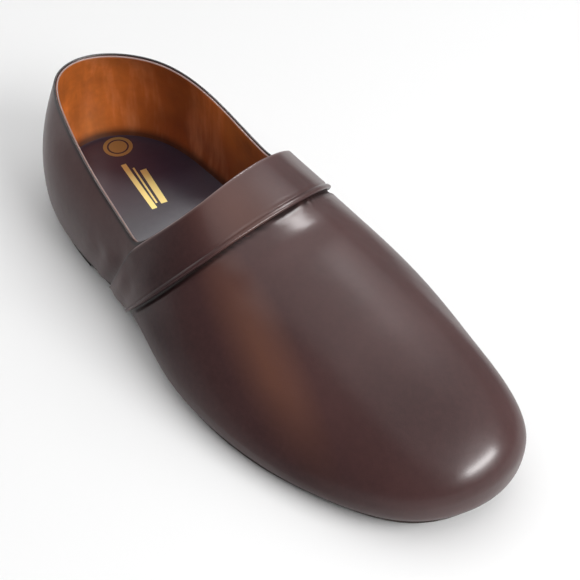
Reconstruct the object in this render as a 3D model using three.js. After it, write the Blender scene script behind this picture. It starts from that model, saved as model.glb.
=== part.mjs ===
import * as THREE from 'three';

// A right-foot leather house slipper: a closed heel, a one-piece vamp and a folded cuff over the instep.
// Millimetres. +X runs to the toe, +Y to the inner (medial) side of the foot, +Z up.

// Driving sizes
const shoeLength = 285;
const ballWidth = 106;
const instepHeight = 80;        // crest of the throat edge over the floor
const heelHeight = 62.8;        // collar at the middle of the heel
const collarLow = 41.2;         // lowest height that the collar's line runs down to
const collarLowAlong = 116.3;   // and how far from the heel
const throatAlong = 130.7;      // crest of the throat edge, from the heel
const throatLean = 1.12;        // forward travel of the throat edge for each millimetre it climbs
const throatHollow = 8;         // how far the throat edge's sides would lie ahead of its middle at one height
const cuffWidth = 29.8;         // along the shoe, at the crest
const cuffLean = 0.82;          // the same two measures for the cuff's front edge
const cuffHollow = 1.8;
const sideSeamBack = 23.8;      // below the collar the cuff's rear edge is steeper. At the height of the
const sideSeamLean = 0.5;       // crest that line would pass this far behind the throat edge, with this lean.
const cuffThickness = 1.1;
const cuffLip = 0.4;            // what the folded front edge adds to the cuff
const cuffFold = 3.2;           // breadth of that folded edge
const wall = 2.2;               // leather with its lining
const insoleThickness = 4;
const soleThickness = 3.2;
const soleReach = 1.2;          // how far the sole's edge stands out past the seam that closes the upper
const liftHeight = 2.8;
const liftLength = 66;
const liftInset = 0.6;
const breastHollow = 3;         // depth of the curve in the front face of the heel
const toeSpring = 7.8;
const clearance = 0.3;          // between pieces that meet

// Shares of the length where the sole leaves the heel seat, lies flat again, and starts to rise to the toe
const seatEnd = 0.24;
const waistEnd = 0.54;
const springStart = 0.72;

// The last, as ribs that stand round the foot from the seam at the sole to a crown inside the opening.
// Each row is one rib: where it is widest (along, side), how high that is above the seam (bulge), how far it
// turns under to the seam (tuck), its end on the crown (crownAlong, crownSide, crownUp), and the share of its
// climb that stays upright (rise), reaches out (lead) and drops (drop) in the curve between the two.
const ribScale = {
  along: shoeLength,
  side: ballWidth,
  bulge: instepHeight,
  tuck: ballWidth,
  crownAlong: shoeLength,
  crownSide: ballWidth,
  crownUp: 1,
  rise: 1,
  lead: 1,
  drop: 1,
};
const ribColumns = Object.keys(ribScale);
const ribTable = [
  // along, side, bulge, tuck, crownAlong, crownSide, crownUp, rise, lead, drop
  [0.000, 0.000, 0.308, 0.055, 0.024, -0.003, 1.093, 0.59, 0.53, 0.34],   // middle of the heel back
  [0.029, -0.208, 0.277, 0.054, 0.038, -0.140, 1.043, 0.53, 0.53, 0.35],
  [0.115, -0.380, 0.233, 0.053, 0.108, -0.224, 0.942, 0.48, 0.53, 0.35],
  [0.247, -0.452, 0.194, 0.052, 0.210, -0.286, 0.875, 0.43, 0.49, 0.34],
  [0.374, -0.487, 0.174, 0.057, 0.316, -0.274, 0.929, 0.34, 0.49, 0.34],   // lateral waist
  [0.493, -0.571, 0.143, 0.052, 0.375, -0.238, 1.006, 0.27, 0.49, 0.34],
  [0.607, -0.608, 0.121, 0.045, 0.408, -0.204, 1.059, 0.15, 0.48, 0.34],   // lateral joint
  [0.727, -0.581, 0.102, 0.045, 0.424, -0.150, 1.071, 0.12, 0.47, 0.36],
  [0.848, -0.495, 0.093, 0.054, 0.431, -0.095, 1.067, 0.19, 0.47, 0.42],
  [0.951, -0.345, 0.133, 0.054, 0.433, -0.042, 1.057, 0.32, 0.47, 0.47],
  [1.000, -0.080, 0.186, 0.065, 0.432, -0.000, 1.047, 0.47, 0.48, 0.51],   // toe tip
  [0.968, 0.180, 0.181, 0.056, 0.429, 0.035, 1.038, 0.49, 0.48, 0.45],
  [0.872, 0.289, 0.171, 0.057, 0.423, 0.073, 1.031, 0.53, 0.49, 0.39],
  [0.751, 0.363, 0.172, 0.048, 0.414, 0.109, 1.022, 0.57, 0.49, 0.35],
  [0.624, 0.391, 0.170, 0.048, 0.400, 0.153, 1.007, 0.58, 0.49, 0.34],   // medial joint
  [0.505, 0.376, 0.188, 0.061, 0.373, 0.217, 0.980, 0.67, 0.49, 0.34],
  [0.381, 0.348, 0.215, 0.075, 0.322, 0.303, 0.937, 0.69, 0.48, 0.32],   // medial waist
  [0.252, 0.346, 0.261, 0.061, 0.223, 0.363, 0.923, 0.76, 0.48, 0.30],
  [0.115, 0.336, 0.297, 0.056, 0.125, 0.291, 1.001, 0.74, 0.53, 0.31],
  [0.027, 0.200, 0.301, 0.056, 0.057, 0.152, 1.069, 0.67, 0.53, 0.33],
];
const ribCount = ribTable.length;
const toeRib = 10;

// Clamped to 0..1 with a level start and end
const smoothStep = (t) => {
  const s = THREE.MathUtils.clamp(t, 0, 1);
  return s * s * (3 - 2 * s);
};

// Second derivatives of the closed cubic spline through one column of the table
function splineBend(values) {
  const bend = values.map(() => 0);
  const at = (list, i) => list[(i + ribCount) % ribCount];
  for (let sweep = 0; sweep < 60; sweep += 1) {
    for (let i = 0; i < ribCount; i += 1) {
      const pull = 6 * (at(values, i - 1) - 2 * values[i] + at(values, i + 1));
      bend[i] = (pull - at(bend, i - 1) - at(bend, i + 1)) / 4;
    }
  }
  return bend;
}

const columns = ribColumns.map((name, c) => {
  const values = ribTable.map((row) => row[c] * ribScale[name]);
  return { name, values, bend: splineBend(values) };
});

// The rib at any place u round the loop: 0 is the heel, toeRib the toe, lateral side first
function ribAt(u) {
  const place = ((u % ribCount) + ribCount) % ribCount;
  const i = Math.floor(place);
  const j = (i + 1) % ribCount;
  const t = place - i;
  const s = 1 - t;
  const rib = {};
  for (const { name, values, bend } of columns) {
    rib[name] = values[i] * s + values[j] * t + ((s ** 3 - s) * bend[i] + (t ** 3 - t) * bend[j]) / 6;
  }
  return rib;
}

// Height over the floor of the seam between upper and sole
const forepartStand = soleThickness + clearance;
const heelStand = forepartStand + liftHeight + clearance;
function seamHeight(x) {
  const share = x / shoeLength;
  const shank = 1 - smoothStep((share - seatEnd) / (waistEnd - seatEnd));
  const rise = Math.max((share - springStart) / (1 - springStart), 0);
  return forepartStand + (heelStand - forepartStand) * shank + toeSpring * rise * rise;
}

// Crown height: follows the collar at the heel and the instep at the front
function crownHeight(rib) {
  const heelShare = Math.max(1 - rib.crownAlong / throatAlong, 0);
  return rib.crownUp * THREE.MathUtils.lerp(instepHeight, heelHeight, heelShare);
}

// Unit vector out of the footprint, level, at place u
function footprintOut(u) {
  const step = 0.001;
  const a = ribAt(u - step);
  const b = ribAt(u + step);
  return new THREE.Vector3(b.side - a.side, a.along - b.along, 0).normalize();
}

// The footprint's edge, moved outward from the seam by reach, at the height of the seam
function footprintPoint(u, reach) {
  const rib = ribAt(u);
  const point = new THREE.Vector3(rib.along, rib.side, 0).addScaledVector(footprintOut(u), reach - rib.tuck);
  point.z = seamHeight(point.x);
  return point;
}

const bezier = (a, b, c, d, t) => {
  const s = 1 - t;
  return a * s * s * s + 3 * b * s * s * t + 3 * c * s * t * t + d * t * t * t;
};

// A point of the last: v from 0 at the seam to 1 at the widest place, and to 2 at the crown
const roundness = 0.5523;
const tuckSwell = 1.4;
function lastPoint(u, v) {
  const rib = ribAt(u);
  const seam = footprintPoint(u, 0);
  const widestHeight = seam.z + rib.bulge;
  if (v <= 1) {
    const lead = roundness * tuckSwell;
    const liftOff = widestHeight - rib.bulge * roundness;
    return new THREE.Vector3(
      bezier(seam.x, THREE.MathUtils.lerp(seam.x, rib.along, lead), rib.along, rib.along, v),
      bezier(seam.y, THREE.MathUtils.lerp(seam.y, rib.side, lead), rib.side, rib.side, v),
      bezier(seam.z, seam.z, liftOff, widestHeight, v),
    );
  }
  const top = crownHeight(rib);
  const climb = top - widestHeight;
  const nearX = THREE.MathUtils.lerp(rib.crownAlong, rib.along, rib.lead);
  const nearY = THREE.MathUtils.lerp(rib.crownSide, rib.side, rib.lead);
  return new THREE.Vector3(
    bezier(rib.along, rib.along, nearX, rib.crownAlong, v - 1),
    bezier(rib.side, rib.side, nearY, rib.crownSide, v - 1),
    bezier(widestHeight, widestHeight + rib.rise * climb, top - rib.drop * climb, top, v - 1),
  );
}

// The same point moved along the surface's outward normal
function offsetPoint(u, v, distance) {
  const step = 0.002;
  const low = Math.max(v - step, 0);
  const along = lastPoint(u + step, v).sub(lastPoint(u - step, v));
  const up = lastPoint(u, v + step).sub(lastPoint(u, low));
  return lastPoint(u, v).addScaledVector(along.cross(up).normalize(), distance);
}

// Where the throat edge and the cuff's front edge lie along the shoe, at a point's height and side
const hollowSpan = 0.302 * ballWidth;
function edgeAt(point, along, lean, hollow) {
  return along + hollow * (point.y / hollowSpan) ** 2 + lean * (point.z - instepHeight);
}
const throatAt = (point) => edgeAt(point, throatAlong, throatLean, throatHollow);
const cuffFrontAt = (point) => edgeAt(point, throatAlong + cuffWidth, cuffLean, cuffHollow);
const cuffRearAt = (point) => Math.max(
  throatAt(point),
  edgeAt(point, throatAlong - sideSeamBack, sideSeamLean, throatHollow),
);

// Height of the collar line at x
const collarCurve = 0.77;
function collarAt(x) {
  const share = Math.max(1 - x / collarLowAlong, 0);
  return collarLow + (heelHeight - collarLow) * share ** collarCurve;
}

const behindThroat = (point) => throatAt(point) - point.x;
const aboveCollar = (point) => point.z - collarAt(point.x);
const inOpening = (point) => Math.min(behindThroat(point), aboveCollar(point));

// Where measure(t) climbs through zero between low and high: the first of scanSteps, then halved
// until no number lies between a and b
function crossing(measure, low, high, scanSteps = 24) {
  let a = low;
  let b = high;
  for (let i = 1; i <= scanSteps; i += 1) {
    const t = low + ((high - low) * i) / scanSteps;
    if (measure(t) > 0) {
      b = t;
      break;
    }
    a = t;
  }
  let middle = (a + b) / 2;
  while (middle > a && middle < b) {
    if (measure(middle) > 0) b = middle;
    else a = middle;
    middle = (a + b) / 2;
  }
  return middle;
}

// The v at which rib u is cut off by the opening
const widest = 1;
const crown = 2;
const topOfRib = (u) => crossing((v) => inOpening(lastPoint(u, v)), widest, crown);

// The two ribs on which the collar meets the throat edge, each looked for on its own side of the waist
const cornerMeasure = (u) => {
  const point = lastPoint(u, topOfRib(u));
  return aboveCollar(point) - behindThroat(point);
};
const cornerSearch = 2.5;
const lateralWaist = 4.5;
const medialWaist = 15.5;
const lateralCorner = crossing(cornerMeasure, lateralWaist - cornerSearch, lateralWaist + cornerSearch);
const medialCorner = crossing(
  (u) => -cornerMeasure(u),
  medialWaist - cornerSearch,
  medialWaist + cornerSearch,
);

const spread = (from, to, steps) => Array.from({ length: steps }, (_, i) => from + ((to - from) * i) / steps);

// A closed body from rows of points and triangles between their numbers
class Body {
  constructor() {
    this.points = [];
    this.triangles = [];
  }

  add(point) {
    this.points.push(point.x, point.y, point.z);
    return this.points.length / 3 - 1;
  }

  quad(a, b, c, d) {
    if (a !== b && b !== c && c !== a) this.triangles.push(a, b, c);
    if (a !== c && c !== d && d !== a) this.triangles.push(a, c, d);
  }

  geometry() {
    const geometry = new THREE.BufferGeometry();
    geometry.setAttribute('position', new THREE.Float32BufferAttribute(this.points, 3));
    geometry.setIndex(this.triangles);
    return geometry;
  }
}

// A wall between an outer and an inner sheet, both indexed [round][up]. Closed joins its two end rows.
function shell(outer, inner, closed) {
  const body = new Body();
  const out = outer.map((row) => row.map((point) => body.add(point)));
  const into = inner.map((row) => row.map((point) => body.add(point)));
  const rows = out.length;
  const top = out[0].length - 1;
  for (let i = 0; i < (closed ? rows : rows - 1); i += 1) {
    const j = (i + 1) % rows;
    for (let k = 0; k < top; k += 1) {
      body.quad(out[i][k], out[j][k], out[j][k + 1], out[i][k + 1]);
      body.quad(into[i][k], into[i][k + 1], into[j][k + 1], into[j][k]);
    }
    body.quad(out[i][top], out[j][top], into[j][top], into[i][top]);
    body.quad(out[j][0], out[i][0], into[i][0], into[j][0]);
  }
  if (!closed) {
    const end = rows - 1;
    for (let k = 0; k < top; k += 1) {
      body.quad(out[0][k], out[0][k + 1], into[0][k + 1], into[0][k]);
      body.quad(out[end][k + 1], out[end][k], into[end][k], into[end][k + 1]);
    }
  }
  return body.geometry();
}

// A plate from level loops stacked upward. Each loop starts at the heel end and has its other end half way
// round; the plate's two faces run across in straight strips whose height is faceHeight(x, y)
function plate(loops, lowFace, highFace, across = 4) {
  const body = new Body();
  const rings = loops.map((loop) => loop.map((point) => body.add(point)));
  const count = loops[0].length;
  const half = count / 2;
  for (let k = 0; k + 1 < rings.length; k += 1) {
    for (let i = 0; i < count; i += 1) {
      const j = (i + 1) % count;
      body.quad(rings[k][i], rings[k][j], rings[k + 1][j], rings[k + 1][i]);
    }
  }
  const face = (loop, ring, height) => {
    const strips = [];
    for (let i = 0; i <= half; i += 1) {
      const other = (count - i) % count;
      strips.push(Array.from({ length: across + 1 }, (_, j) => {
        if (j === 0 || i === 0 || i === half) return ring[i];
        if (j === across) return ring[other];
        const point = loop[i].clone().lerp(loop[other], j / across);
        point.z = height(point.x, point.y);
        return body.add(point);
      }));
    }
    return strips;
  };
  const low = face(loops[0], rings[0], lowFace);
  const high = face(loops[loops.length - 1], rings[rings.length - 1], highFace);
  for (let i = 0; i < half; i += 1) {
    for (let j = 0; j < across; j += 1) {
      body.quad(high[i][j], high[i + 1][j], high[i + 1][j + 1], high[i][j + 1]);
      body.quad(low[i][j], low[i][j + 1], low[i + 1][j + 1], low[i + 1][j]);
    }
  }
  return body.geometry();
}

// Upper: one hollow wall, open at the collar and throat, and underneath inside the seam
const heelRibs = 34;
const foreRibs = 58;
const tuckSteps = 4;
const sideSteps = 10;
function upperGeometry() {
  const places = [
    ...spread(lateralCorner, medialCorner, foreRibs),
    ...spread(medialCorner, lateralCorner + ribCount, heelRibs),
  ];
  const heights = places.map((u) => {
    const top = topOfRib(u);
    const under = Array.from({ length: tuckSteps }, (_, k) => k / tuckSteps);
    const over = Array.from({ length: sideSteps + 1 }, (_, k) => 1 + ((top - 1) * k) / sideSteps);
    return [...under, ...over];
  });
  const sheet = (distance) => places.map((u, i) => heights[i].map((v) => offsetPoint(u, v, distance)));
  return shell(sheet(0), sheet(-wall), true);
}

// Cuff: a band over the instep, from the throat edge forward and down both sides, cut between two sheets just
// outside the last. Its fold stands prouder along the front edge.
const cuffFoot = 0.35;          // v at which the band ends above the sole
const cuffSteps = 64;
const cuffSamples = 400;        // places at which each of its lines is measured before it is divided evenly
const cuffScan = 48;
const foldShare = cuffFold / cuffWidth;
const flatStrips = 5;
const cuffProfile = [
  // across: 0 at the front edge, 1 at the throat; lip: share of cuffLip
  { across: 0, lip: 0.3 },
  { across: 0.25 * foldShare, lip: 1 },
  { across: 0.75 * foldShare, lip: 1 },
  ...Array.from({ length: flatStrips + 1 }, (_, i) => (
    { across: THREE.MathUtils.lerp(foldShare, 1, i / flatStrips), lip: 0 }
  )),
];
function cuffGeometry() {
  const lines = cuffProfile.map(({ across, lip }) => {
    const behind = (point) => THREE.MathUtils.lerp(cuffFrontAt(point), cuffRearAt(point), across) - point.x;
    const crossRib = (u) => crossing((v) => behind(lastPoint(u, v)), cuffFoot, crown, cuffScan);
    const lateralEnd = crossing((u) => -behind(lastPoint(u, cuffFoot)), 1, toeRib);
    const medialEnd = crossing((u) => behind(lastPoint(u, cuffFoot)), toeRib, ribCount - 1);
    const dense = [0];
    const places = [lateralEnd];
    let last = lastPoint(lateralEnd, cuffFoot);
    for (let i = 1; i <= cuffSamples; i += 1) {
      const u = THREE.MathUtils.lerp(lateralEnd, medialEnd, i / cuffSamples);
      const point = lastPoint(u, i === cuffSamples ? cuffFoot : crossRib(u));
      dense.push(dense[i - 1] + point.distanceTo(last));
      places.push(u);
      last = point;
    }
    const whole = dense[cuffSamples];
    let k = 1;
    return Array.from({ length: cuffSteps + 1 }, (_, i) => {
      const target = (whole * i) / cuffSteps;
      while (k < cuffSamples && dense[k] < target) k += 1;
      const t = (target - dense[k - 1]) / (dense[k] - dense[k - 1]);
      const u = THREE.MathUtils.lerp(places[k - 1], places[k], t);
      const atEnd = i === 0 || i === cuffSteps;
      return { u, v: atEnd ? cuffFoot : crossRib(u), lip };
    });
  });
  const sheet = (distance) => Array.from({ length: cuffSteps + 1 }, (_, i) =>
    lines.map((line) => offsetPoint(line[i].u, line[i].v, distance(line[i].lip))));
  const outside = (lip) => clearance + cuffThickness + lip * cuffLip;
  return shell(sheet(outside), sheet(() => clearance), false);
}

// Outsole: a plate under the upper that follows heel seat, waist, tread and toe spring
const stations = 56;
const loopPlaces = spread(0, ribCount, 2 * stations);
function outsoleGeometry() {
  const top = (x) => seamHeight(x) - clearance;
  const bottom = (x) => top(x) - soleThickness;
  const loop = (height) => loopPlaces.map((u) => {
    const point = footprintPoint(u, soleReach);
    return point.setZ(height(point.x));
  });
  return plate([loop(bottom), loop(top)], bottom, top);
}

// Heel lift: under the heel seat, flat below, with a hollow front face
const liftStations = 14;
function heelLiftGeometry() {
  const edge = (u) => footprintPoint(u, soleReach - liftInset);
  const lateral = crossing((u) => edge(u).x - liftLength, 0, toeRib);
  const medial = crossing((u) => liftLength - edge(u).x, toeRib, ribCount);
  const side = (from, to) => spread(from, to, liftStations).map((u) => edge(u));
  const start = edge(lateral);
  const end = edge(medial);
  const breastSteps = 8;
  const breast = Array.from({ length: breastSteps + 1 }, (_, i) => {
    const t = i / breastSteps;
    const point = start.clone().lerp(end, t);
    point.x -= breastHollow * 4 * t * (1 - t);
    return point;
  });
  const outline = [...side(0, lateral), ...breast, ...side(medial, ribCount).slice(1)];
  const shape = new THREE.Shape(outline.map((point) => new THREE.Vector2(point.x, point.y)));
  return new THREE.ExtrudeGeometry(shape, { depth: liftHeight, bevelEnabled: false });
}

// Insole: lies on the sole inside the seam, and its edge laps the turned-in upper and meets the wall
function insoleGeometry() {
  const wallFace = -(wall + clearance);
  const level = (height) => (x) => seamHeight(x) + height;
  const inside = (height) => loopPlaces.map((u) => {
    const point = footprintPoint(u, -clearance);
    return point.setZ(level(height)(point.x));
  });
  const onWall = (height) => loopPlaces.map((u) => {
    const v = crossing((t) => {
      const point = offsetPoint(u, t, wallFace);
      return point.z - level(height)(point.x);
    }, 0, crown);
    return offsetPoint(u, v, wallFace);
  });
  const lap = wall + clearance;
  const edges = [onWall((lap + insoleThickness) / 2), onWall(insoleThickness)];
  return plate([inside(0), inside(lap + clearance), ...edges], level(0), level(insoleThickness));
}

// Materials, one for each piece
const leather = (color, roughness) => new THREE.MeshStandardMaterial({ color, roughness, metalness: 0 });
const pieces = [
  { name: 'upper', geometry: upperGeometry(), material: leather(0x2c1d1b, 0.32) },
  { name: 'cuff_band', geometry: cuffGeometry(), material: leather(0x2e1f1d, 0.34) },
  { name: 'insole', geometry: insoleGeometry(), material: leather(0x251b22, 0.42) },
  { name: 'outsole', geometry: outsoleGeometry(), material: leather(0x2a1c18, 0.6) },
  { name: 'heel_lift', geometry: heelLiftGeometry(), material: leather(0x1b1413, 0.7) },
];

// The slipper, with its origin on the floor under the middle of its box
const slipper = new THREE.Group();
for (const { name, geometry, material } of pieces) {
  const mesh = new THREE.Mesh(geometry, material);
  mesh.name = name;
  slipper.add(mesh);
}
const box = new THREE.Box3().setFromObject(slipper);
const middle = box.getCenter(new THREE.Vector3());
slipper.position.set(-middle.x, -middle.y, -box.min.z);
slipper.updateMatrixWorld(true);

export default slipper;
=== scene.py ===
import math

import bpy
import numpy as np
from mathutils import Matrix, Vector


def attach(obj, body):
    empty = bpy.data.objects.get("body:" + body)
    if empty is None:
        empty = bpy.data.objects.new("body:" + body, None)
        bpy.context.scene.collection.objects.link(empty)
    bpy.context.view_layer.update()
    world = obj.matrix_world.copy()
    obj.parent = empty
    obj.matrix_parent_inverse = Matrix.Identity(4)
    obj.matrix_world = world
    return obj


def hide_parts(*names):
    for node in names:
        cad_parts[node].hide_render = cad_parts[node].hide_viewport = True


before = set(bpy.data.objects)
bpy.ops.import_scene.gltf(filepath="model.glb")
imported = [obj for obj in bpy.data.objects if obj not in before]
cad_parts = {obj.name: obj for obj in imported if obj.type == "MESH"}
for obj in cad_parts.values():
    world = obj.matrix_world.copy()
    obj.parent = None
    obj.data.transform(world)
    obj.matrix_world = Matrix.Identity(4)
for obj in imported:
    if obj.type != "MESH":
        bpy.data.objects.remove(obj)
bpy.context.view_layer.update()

# The slipper's own sizes in millimetres, measured from the back of the heel
SHOE_LENGTH = 285.0
BALL_WIDTH = 106.0
INSTEP_HEIGHT = 80.0
HEEL_HEIGHT = 62.8
COLLAR_LOW = 41.2
COLLAR_LOW_ALONG = 116.3
COLLAR_CURVE = 0.77
THROAT_ALONG = 130.7
THROAT_LEAN = 1.12
THROAT_HOLLOW = 8.0
HOLLOW_SPAN = 0.302 * BALL_WIDTH
CUFF_WIDTH = 29.8
CUFF_LEAN = 0.82
CUFF_HOLLOW = 1.8
SIDE_SEAM_BACK = 23.8
SIDE_SEAM_LEAN = 0.5
CUFF_FOOT = 0.35
CORNER_SOFTNESS = 4.0
WALL = 2.2
INSOLE_THICKNESS = 4.0
SOLE_THICKNESS = 3.2
SOLE_REACH = 1.2
LIFT_HEIGHT = 2.8
LIFT_LENGTH = 66.0
LIFT_INSET = 0.6
BREAST_HOLLOW = 3.0
TOE_SPRING = 7.8
CLEARANCE = 0.3
SEAT_END = 0.24
WAIST_END = 0.54
SPRING_START = 0.72
ROUNDNESS = 0.5523
TUCK_SWELL = 1.4
SOLE_ROUND = 0.8
LIFT_ROUND = 0.7
LAST_ORIGIN = np.array([-142.58, 11.50, 0.0])
MILLIMETRE = 0.001
SCAN_STEPS = 24
FINE_SCAN_STEPS = 48
HALVINGS = 34

FOREPART_STAND = SOLE_THICKNESS + CLEARANCE
HEEL_STAND = FOREPART_STAND + LIFT_HEIGHT + CLEARANCE

# The last as ribs, one to a row, in shares of the sizes under the table: along, side, bulge, tuck,
# crown along, crown side, crown up, rise, lead, drop
RIBS = np.array([
    [0.000, 0.000, 0.308, 0.055, 0.024, -0.003, 1.093, 0.59, 0.53, 0.34],
    [0.029, -0.208, 0.277, 0.054, 0.038, -0.140, 1.043, 0.53, 0.53, 0.35],
    [0.115, -0.380, 0.233, 0.053, 0.108, -0.224, 0.942, 0.48, 0.53, 0.35],
    [0.247, -0.452, 0.194, 0.052, 0.210, -0.286, 0.875, 0.43, 0.49, 0.34],
    [0.374, -0.487, 0.174, 0.057, 0.316, -0.274, 0.929, 0.34, 0.49, 0.34],
    [0.493, -0.571, 0.143, 0.052, 0.375, -0.238, 1.006, 0.27, 0.49, 0.34],
    [0.607, -0.608, 0.121, 0.045, 0.408, -0.204, 1.059, 0.15, 0.48, 0.34],
    [0.727, -0.581, 0.102, 0.045, 0.424, -0.150, 1.071, 0.12, 0.47, 0.36],
    [0.848, -0.495, 0.093, 0.054, 0.431, -0.095, 1.067, 0.19, 0.47, 0.42],
    [0.951, -0.345, 0.133, 0.054, 0.433, -0.042, 1.057, 0.32, 0.47, 0.47],
    [1.000, -0.080, 0.186, 0.065, 0.432, -0.000, 1.047, 0.47, 0.48, 0.51],
    [0.968, 0.180, 0.181, 0.056, 0.429, 0.035, 1.038, 0.49, 0.48, 0.45],
    [0.872, 0.289, 0.171, 0.057, 0.423, 0.073, 1.031, 0.53, 0.49, 0.39],
    [0.751, 0.363, 0.172, 0.048, 0.414, 0.109, 1.022, 0.57, 0.49, 0.35],
    [0.624, 0.391, 0.170, 0.048, 0.400, 0.153, 1.007, 0.58, 0.49, 0.34],
    [0.505, 0.376, 0.188, 0.061, 0.373, 0.217, 0.980, 0.67, 0.49, 0.34],
    [0.381, 0.348, 0.215, 0.075, 0.322, 0.303, 0.937, 0.69, 0.48, 0.32],
    [0.252, 0.346, 0.261, 0.061, 0.223, 0.363, 0.923, 0.76, 0.48, 0.30],
    [0.115, 0.336, 0.297, 0.056, 0.125, 0.291, 1.001, 0.74, 0.53, 0.31],
    [0.027, 0.200, 0.301, 0.056, 0.057, 0.152, 1.069, 0.67, 0.53, 0.33],
]) * [SHOE_LENGTH, BALL_WIDTH, INSTEP_HEIGHT, BALL_WIDTH, SHOE_LENGTH, BALL_WIDTH, 1, 1, 1, 1]
RIB_COUNT = len(RIBS)

spline_matrix = 4 * np.eye(RIB_COUNT) + np.roll(np.eye(RIB_COUNT), 1, 0) + np.roll(np.eye(RIB_COUNT), -1, 0)
RIB_BEND = np.linalg.solve(spline_matrix, 6 * (np.roll(RIBS, 1, 0) + np.roll(RIBS, -1, 0) - 2 * RIBS))


def mix(a, b, t):
    return a + (b - a) * t


def smooth_step(t):
    s = np.clip(t, 0, 1)
    return s * s * (3 - 2 * s)


def rib_at(u):
    """All ten columns of the table at places u round the loop."""
    place = np.mod(u, RIB_COUNT)
    i = np.minimum(np.floor(place).astype(int), RIB_COUNT - 1)
    j = (i + 1) % RIB_COUNT
    t = (place - i)[..., None]
    s = 1 - t
    return RIBS[i] * s + RIBS[j] * t + ((s ** 3 - s) * RIB_BEND[i] + (t ** 3 - t) * RIB_BEND[j]) / 6


def seam_height(x):
    part = x / SHOE_LENGTH
    shank = 1 - smooth_step((part - SEAT_END) / (WAIST_END - SEAT_END))
    rise = np.maximum((part - SPRING_START) / (1 - SPRING_START), 0)
    return FOREPART_STAND + (HEEL_STAND - FOREPART_STAND) * shank + TOE_SPRING * rise ** 2


def crown_height(crown_along, crown_up):
    heel_part = np.maximum(1 - crown_along / THROAT_ALONG, 0)
    return crown_up * mix(INSTEP_HEIGHT, HEEL_HEIGHT, heel_part)


def footprint_point(u, reach):
    step = 0.001
    a = rib_at(u - step)
    b = rib_at(u + step)
    out = np.stack([b[..., 1] - a[..., 1], a[..., 0] - b[..., 0]], -1)
    out /= np.linalg.norm(out, axis=-1, keepdims=True)
    rib = rib_at(u)
    level = rib[..., :2] + out * (reach - rib[..., 3])[..., None]
    return np.concatenate([level, seam_height(level[..., :1])], -1)


def bezier(a, b, c, d, t):
    s = 1 - t
    return a * s ** 3 + 3 * b * s * s * t + 3 * c * s * t * t + d * t ** 3


def last_point(u, v):
    """A point of the last: v is 0 at the seam, 1 at the widest place and 2 at the crown."""
    u, v = np.broadcast_arrays(np.asarray(u, float), np.asarray(v, float))
    rib = rib_at(u)
    along, side, bulge, _, crown_x, crown_y, crown_up, rise, lead, drop = np.moveaxis(rib, -1, 0)
    seam = footprint_point(u, 0.0)
    seam_z = seam[..., 2]
    wide_z = seam_z + bulge
    k = ROUNDNESS * TUCK_SWELL
    under = np.stack([
        bezier(seam[..., 0], mix(seam[..., 0], along, k), along, along, v),
        bezier(seam[..., 1], mix(seam[..., 1], side, k), side, side, v),
        bezier(seam_z, seam_z, wide_z - bulge * ROUNDNESS, wide_z, v),
    ], -1)
    top = crown_height(crown_x, crown_up)
    climb = top - wide_z
    over = np.stack([
        bezier(along, along, mix(crown_x, along, lead), crown_x, v - 1),
        bezier(side, side, mix(crown_y, side, lead), crown_y, v - 1),
        bezier(wide_z, wide_z + rise * climb, top - drop * climb, top, v - 1),
    ], -1)
    return np.where((v <= 1)[..., None], under, over)


def normal_at(u, v):
    step = 0.002
    low = np.maximum(v - step, 0)
    along = last_point(u + step, v) - last_point(u - step, v)
    up = last_point(u, v + step) - last_point(u, low)
    normal = np.cross(along, up)
    return normal / np.linalg.norm(normal, axis=-1, keepdims=True)


def offset_point(u, v, distance):
    u, v, distance = np.broadcast_arrays(*[np.asarray(x, float) for x in (u, v, distance)])
    return last_point(u, v) + normal_at(u, v) * distance[..., None]


# The lines that cut the last: the throat edge, the cuff's two edges and the collar
def edge_at(point, along, lean, hollow):
    return along + hollow * (point[..., 1] / HOLLOW_SPAN) ** 2 + lean * (point[..., 2] - INSTEP_HEIGHT)


def throat_at(point):
    return edge_at(point, THROAT_ALONG, THROAT_LEAN, THROAT_HOLLOW)


def cuff_front_at(point):
    return edge_at(point, THROAT_ALONG + CUFF_WIDTH, CUFF_LEAN, CUFF_HOLLOW)


def cuff_rear_at(point):
    below = edge_at(point, THROAT_ALONG - SIDE_SEAM_BACK, SIDE_SEAM_LEAN, THROAT_HOLLOW)
    return soft_max(throat_at(point), below, CORNER_SOFTNESS)


def collar_at(x):
    part = np.maximum(1 - x / COLLAR_LOW_ALONG, 0)
    return COLLAR_LOW + (HEEL_HEIGHT - COLLAR_LOW) * part ** COLLAR_CURVE


def soft_max(a, b, radius):
    return (a + b + np.sqrt((a - b) ** 2 + radius ** 2)) / 2


def behind_throat(point):
    return throat_at(point) - point[..., 0]


def above_collar(point):
    return point[..., 2] - collar_at(point[..., 0])


def crossing(measure, low, high, scan=SCAN_STEPS):
    """Where measure(t) climbs through zero between low and high, for each place at once."""
    low, high = np.broadcast_arrays(np.asarray(low, float), np.asarray(high, float))
    a = low.copy()
    b = high.copy()
    found = np.zeros(low.shape, bool)
    for i in range(1, scan + 1):
        t = low + (high - low) * i / scan
        hit = (measure(t) > 0) & ~found
        b = np.where(hit, t, b)
        found |= hit
        a = np.where(found, a, t)
    for _ in range(HALVINGS):
        middle = (a + b) / 2
        up = measure(middle) > 0
        b = np.where(up, middle, b)
        a = np.where(up, a, middle)
    return (a + b) / 2


def top_of_rib(u):
    def measure(v):
        point = last_point(u, v)
        return -soft_max(-behind_throat(point), -above_collar(point), CORNER_SOFTNESS)
    return crossing(measure, np.full(np.shape(u), 1.0), 2.0)


def corner_measure(u):
    point = last_point(u, top_of_rib(u))
    return above_collar(point) - behind_throat(point)


LATERAL_CORNER = float(crossing(corner_measure, 2.0, 7.0))
MEDIAL_CORNER = float(crossing(lambda u: -corner_measure(u), 13.0, 18.0))


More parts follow.
